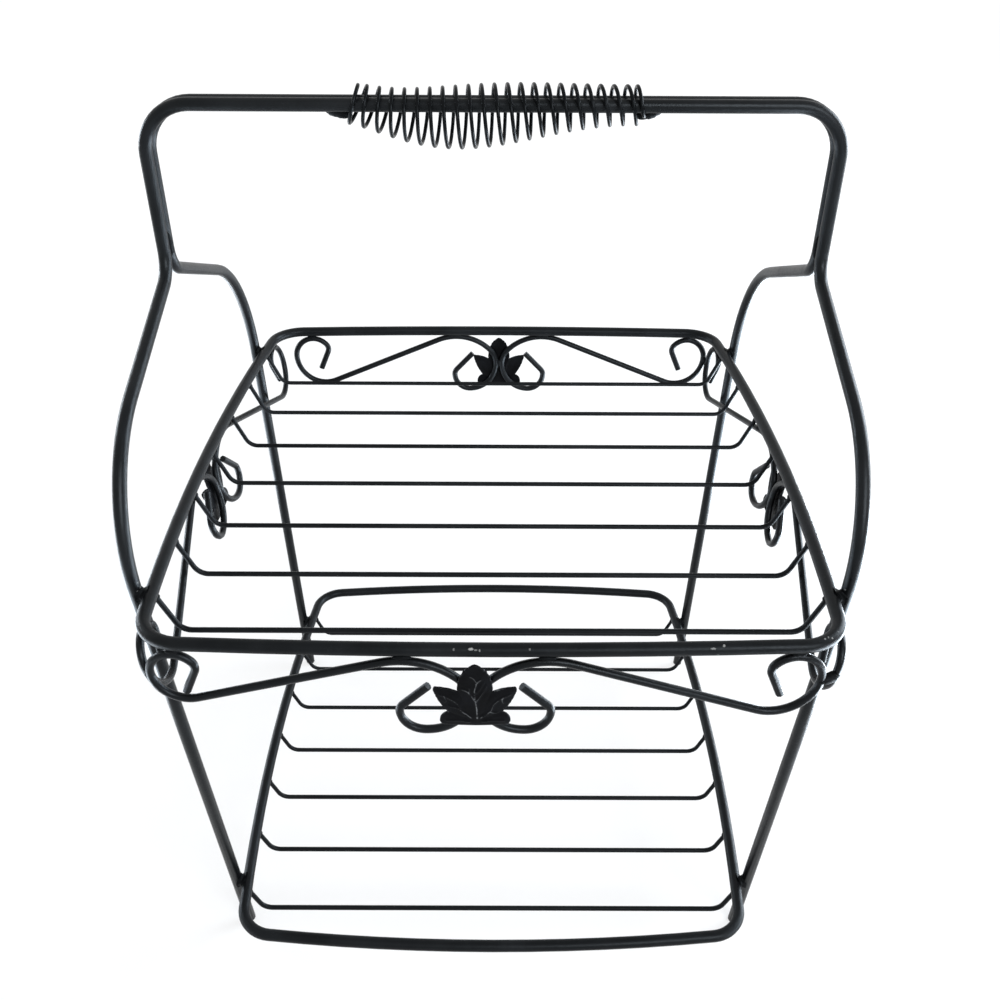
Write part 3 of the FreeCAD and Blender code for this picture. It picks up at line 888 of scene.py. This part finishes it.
# Length and radius of each kind of bead, and where the beads of the necks and the coil are set.
COLLAR_THICKNESS = 0.3
GRID_COLLAR = (3.2, GRID_RADIUS + COLLAR_THICKNESS)
NECK_BEAD = (9.5, 1.5)
CREST_BEAD = (6.5, 0.8)
HOOK_BEAD = (5.0, 0.8)
COIL_DAB = (10.0, 1.9)
NECK_BEAD_HEIGHT = 299.0
NECK_BEAD_OFFSET = 1.7
COIL_DAB_OFFSET = 1.8
COIL_DAB_RISE = 0.22

# Where two scrolls touch at a corner or behind a leaf, which way the weld runs, its length and its radius.
SCROLL_TOUCHES = [
    ((-116.4, -126.8, 193.1), (0, 0, 1), 4.5, 1.5),
    ((115.4, -127.3, 192.1), (3.02, 1.32, 0.25), 9.0, 2.0),
    ((116.8, 125.9, 191.5), (0, 0, 1), 4.5, 1.5),
    ((-5.3, -132.5, 187.3), (0, 0, 1), 5.0, 1.5),
    ((2.3, 130.9, 187.4), (0, 0, 1), 5.0, 1.5),
    ((-124.2, 0.3, 187.5), (0, 0, 1), 5.0, 1.5),
    ((125.0, -3.7, 187.4), (0, 0, 1), 5.0, 1.5),
]


def side_at(rim, depth):
    """How far out a rim's bowed side is, at a depth from the middle plane."""
    return rim["half_width"] - rim["side_bow"] + math.sqrt(rim["side_bow"] ** 2 - depth ** 2)


def end_at(rim, width):
    """How far out a rim's bowed front or rear is, at a distance to the side."""
    return rim["half_depth"] - rim["end_bow"] + math.sqrt(rim["end_bow"] ** 2 - width ** 2)


def upper_rim_place(panel, station):
    """The middle of the upper rim's rod, at a station along one of its sides."""
    outward, along, _ = PANELS[panel]
    reach = end_at(UPPER_RIM, station) if along.x else side_at(UPPER_RIM, station)
    return MIDDLE + along * station + outward * reach + UP * UPPER_RIM["height"]


def leg_welds(name, rim):
    """A fillet of weld round each place where a leg leans on the rim."""
    beads = Beads()
    side = side_at(rim, rim["leg_depth"]) + ROD_SPACING / 2
    for x_sign in (-1, 1):
        for y_sign in (-1, 1):
            touch = MIDDLE + Vector((x_sign * side, y_sign * rim["leg_depth"], rim["height"]))
            beads.saddle(touch, Vector((x_sign, 0, 0)), y_sign * LEG_LEAN)
    beads.finish(name)


def grid_welds(name, rim):
    """Small collars where the floor wires butt against the rim."""
    beads = Beads()
    slope = math.radians(GRID_END_ANGLE)
    for number in range(GRID_WIRE_COUNT):
        place_share = 2 * number / (GRID_WIRE_COUNT - 1) - 1
        depth = place_share * (rim["half_depth"] - rim["grid_margin"])
        for x_sign in (-1, 1):
            toward = Vector((x_sign * math.cos(slope), 0, math.sin(slope)))
            on_rim = MIDDLE + Vector((x_sign * side_at(rim, depth), depth, rim["height"]))
            beads.add(on_rim - toward * TOUCH_REACH, toward, *GRID_COLLAR)
    beads.finish(name)


def neck_welds():
    """Beads on both sides of each neck, in the groove between its two rods."""
    beads = Beads()
    neck = box_mm("front_frame")[1].x - ROD_RADIUS
    for x_sign in (-1, 1):
        for way in (-1, 1):
            station = x_sign * (neck + way * NECK_BEAD_OFFSET)
            beads.add(MIDDLE + Vector((station, 0, NECK_BEAD_HEIGHT)), UP, *NECK_BEAD)
    beads.finish("neck_welds")


def scroll_welds():
    """Beads where the scrolls touch the rim at their crests and hooks, and where they touch each other."""
    beads = Beads()
    drop = math.sqrt(SCROLL_SPACING ** 2 - SCROLL_OUTSET ** 2)
    for name, (outward, along, _) in PANELS.items():
        to_wire = (outward * SCROLL_OUTSET - UP * drop) / SCROLL_SPACING
        beside = (outward * drop + UP * SCROLL_OUTSET) / SCROLL_SPACING
        low, high = box_mm("leaf_" + name)
        motif = (low + high).dot(along) / 2 - MIDDLE.dot(along)
        for side, ending in ((-1, "_1"), (1, "_2")):
            crest = upper_rim_place(name, motif + side * CREST_STATION)
            beads.pair(crest + to_wire * TOUCH_REACH, beside, along, CREST_BEAD)
            reach = max(side * corner.dot(along) for corner in box_mm("scroll_" + name + ending))
            hook_station = side * (reach - SCROLL_RADIUS - HOOK_TOP_RADIUS) - MIDDLE.dot(along)
            hook = upper_rim_place(name, hook_station)
            beads.pair(hook - UP * TOUCH_REACH, outward, along, HOOK_BEAD)
    for place, along, length, radius in SCROLL_TOUCHES:
        beads.add(Vector(place), Vector(along), length, radius)
    beads.finish("scroll_welds")


def coil_welds():
    """Dabs that hold the coil's tails to the underside of the bar."""
    beads = Beads()
    for x_sign, turn in ((-1, -1), (1, COIL_TURNS + 1)):
        station = coil_point(turn).x + x_sign * COIL_DAB_OFFSET
        place = MIDDLE + Vector((station, 0, COIL_TUCK_HEIGHT + COIL_GAP))
        beads.add(place, Vector((1, 0, COIL_DAB_RISE * x_sign)), *COIL_DAB)
    beads.finish("coil_welds")


leg_welds("upper_leg_welds", UPPER_RIM)
leg_welds("lower_leg_welds", LOWER_RIM)
grid_welds("upper_grid_welds", UPPER_RIM)
grid_welds("lower_grid_welds", LOWER_RIM)
neck_welds()
scroll_welds()
coil_welds()


# Studio, in metres

WHITE = (1, 1, 1, 1)
FLOOR_COLOUR = (0.35, 0.35, 0.35, 1)
FLOOR_REACH = 9.0
FLOOR_DROP = 0.0003

# The floor's own light near the object, where its shadow falls, and far off, and the distances between
# which it changes.
NEAR_GLOW = 0.6
FAR_GLOW = 0.78
GLOW_REACHES = (0.3, 1.6)

# The world's light at the horizon and above, and the heights between which it changes.
SKY_LEVELS = (0.5, 0.7)
SKY_HEIGHTS = (0.05, 0.8)

# The lamps: name, place, target, size, power in watts and colour.
COOL = (0.82, 0.91, 1.0)
NEARLY_WHITE = (0.95, 0.975, 1.0)
OBJECT_MIDDLE = (0, 0, 0.22)
LAMPS = [
    ("key", (1.55, 0.65, 0.62), OBJECT_MIDDLE, (0.9, 1.2), 40.0, COOL),
    ("fill", (-1.5, 0.8, 0.4), OBJECT_MIDDLE, (0.5, 0.5), 11.0, COOL),
    ("front", (0.75, -1.4, 1.05), OBJECT_MIDDLE, (1.0, 0.8), 25.0, NEARLY_WHITE),
    ("right_table", (0.43, 0.05, 0.003), (0.43, 0.05, 1), (0.36, 0.7), 17.0, COOL),
    ("left_table", (-0.43, 0.05, 0.003), (-0.43, 0.05, 1), (0.36, 0.7), 5.5, COOL),
]

# The photo's camera: angles in degrees, place in millimetres from the middle plane, and the focal length
# as a share of the picture's width.
CAMERA_PITCH = 33.08
CAMERA_ROLL = 0.29
CAMERA_YAW = 0.12
CAMERA_PLACE = Vector((2.3, -377.4, 426.7))
FOCAL_SHARE = 0.99
SENSOR_WIDTH = 36.0
NEAREST_SEEN = 0.01


def seen_share(graph):
    """1 for what is seen straight, in a reflection or through glass, and 0 for what only lights."""
    rays = graph.add("LightPath").outputs
    reflected = graph.math("MAXIMUM", rays["Is Camera Ray"], rays["Is Glossy Ray"])
    return graph.math("MAXIMUM", reflected, rays["Is Transmission Ray"])


def floor():
    """A pale floor that is seen as white and keeps the object's shadow."""
    corners = [(x_sign * FLOOR_REACH, y_sign * FLOOR_REACH, 0)
               for x_sign, y_sign in ((-1, -1), (1, -1), (1, 1), (-1, 1))]
    mesh = bpy.data.meshes.new("floor")
    mesh.from_pydata(corners, [], [(0, 1, 2, 3)])
    plane = bpy.data.objects.new("floor", mesh)
    plane.location.z = -FLOOR_DROP
    scene.collection.objects.link(plane)
    material, graph, surface = blank_material("floor")
    diffuse = graph.add("BsdfDiffuse")
    diffuse.inputs["Color"].default_value = FLOOR_COLOUR
    glow = graph.add("Emission")
    glow.inputs["Color"].default_value = WHITE
    from_object = graph.distance((0, 0, 0), (1, 1, 1))
    level = graph.ramp(from_object, *GLOW_REACHES, NEAR_GLOW, FAR_GLOW, curve="LINEAR")
    graph.link(graph.math("MULTIPLY", seen_share(graph), level), glow.inputs["Strength"])
    total = graph.add("AddShader")
    graph.link(diffuse.outputs[0], total.inputs[0])
    graph.link(glow.outputs[0], total.inputs[1])
    graph.link(total.outputs[0], surface)
    mesh.materials.append(material)


def world():
    """Even light all round, a little weaker near the horizon, that is seen as white."""
    sky = bpy.data.worlds.new("studio")
    sky.use_nodes = True
    sky.node_tree.nodes.clear()
    graph = Graph(sky.node_tree, "Generated")
    back = graph.add("Background")
    back.inputs["Color"].default_value = WHITE
    level = graph.ramp(graph.height(), *SKY_HEIGHTS, *SKY_LEVELS)
    graph.link(graph.math("MAXIMUM", level, seen_share(graph)), back.inputs["Strength"])
    graph.link(back.outputs[0], graph.add("OutputWorld").inputs["Surface"])
    scene.world = sky


def lamp(name, place, target, size, power, colour):
    """A soft lamp that faces its target and isn't itself in the picture."""
    data = bpy.data.lights.new(name, "AREA")
    data.shape = "RECTANGLE"
    data.size, data.size_y = size
    data.energy = power
    data.color = colour
    light = bpy.data.objects.new(name, data)
    light.location = place
    light.rotation_euler = (Vector(target) - Vector(place)).to_track_quat("-Z", "Y").to_euler()
    light.visible_camera = False
    scene.collection.objects.link(light)


def camera():
    """A camera at the photo's place and angle."""
    pitch, roll, yaw = (math.radians(angle) for angle in (CAMERA_PITCH, CAMERA_ROLL, CAMERA_YAW))
    ahead = Vector((math.sin(yaw) * math.cos(pitch), math.cos(yaw) * math.cos(pitch), -math.sin(pitch)))
    right = Vector((math.cos(yaw), -math.sin(yaw), 0))
    above = right.cross(ahead)
    right, above = (right * math.cos(roll) + above * math.sin(roll),
                    above * math.cos(roll) - right * math.sin(roll))
    data = bpy.data.cameras.new("camera")
    data.sensor_width = SENSOR_WIDTH
    data.lens = SENSOR_WIDTH * FOCAL_SHARE
    data.clip_start = NEAREST_SEEN
    piece = bpy.data.objects.new("camera", data)
    turn = Matrix((right, above, -ahead)).transposed().to_4x4()
    piece.matrix_world = Matrix.Translation((MIDDLE + CAMERA_PLACE) * MM) @ turn
    scene.collection.objects.link(piece)
    scene.camera = piece


floor()
world()
for lamp_row in LAMPS:
    lamp(*lamp_row)
camera()
scene.view_settings.view_transform = "Standard"
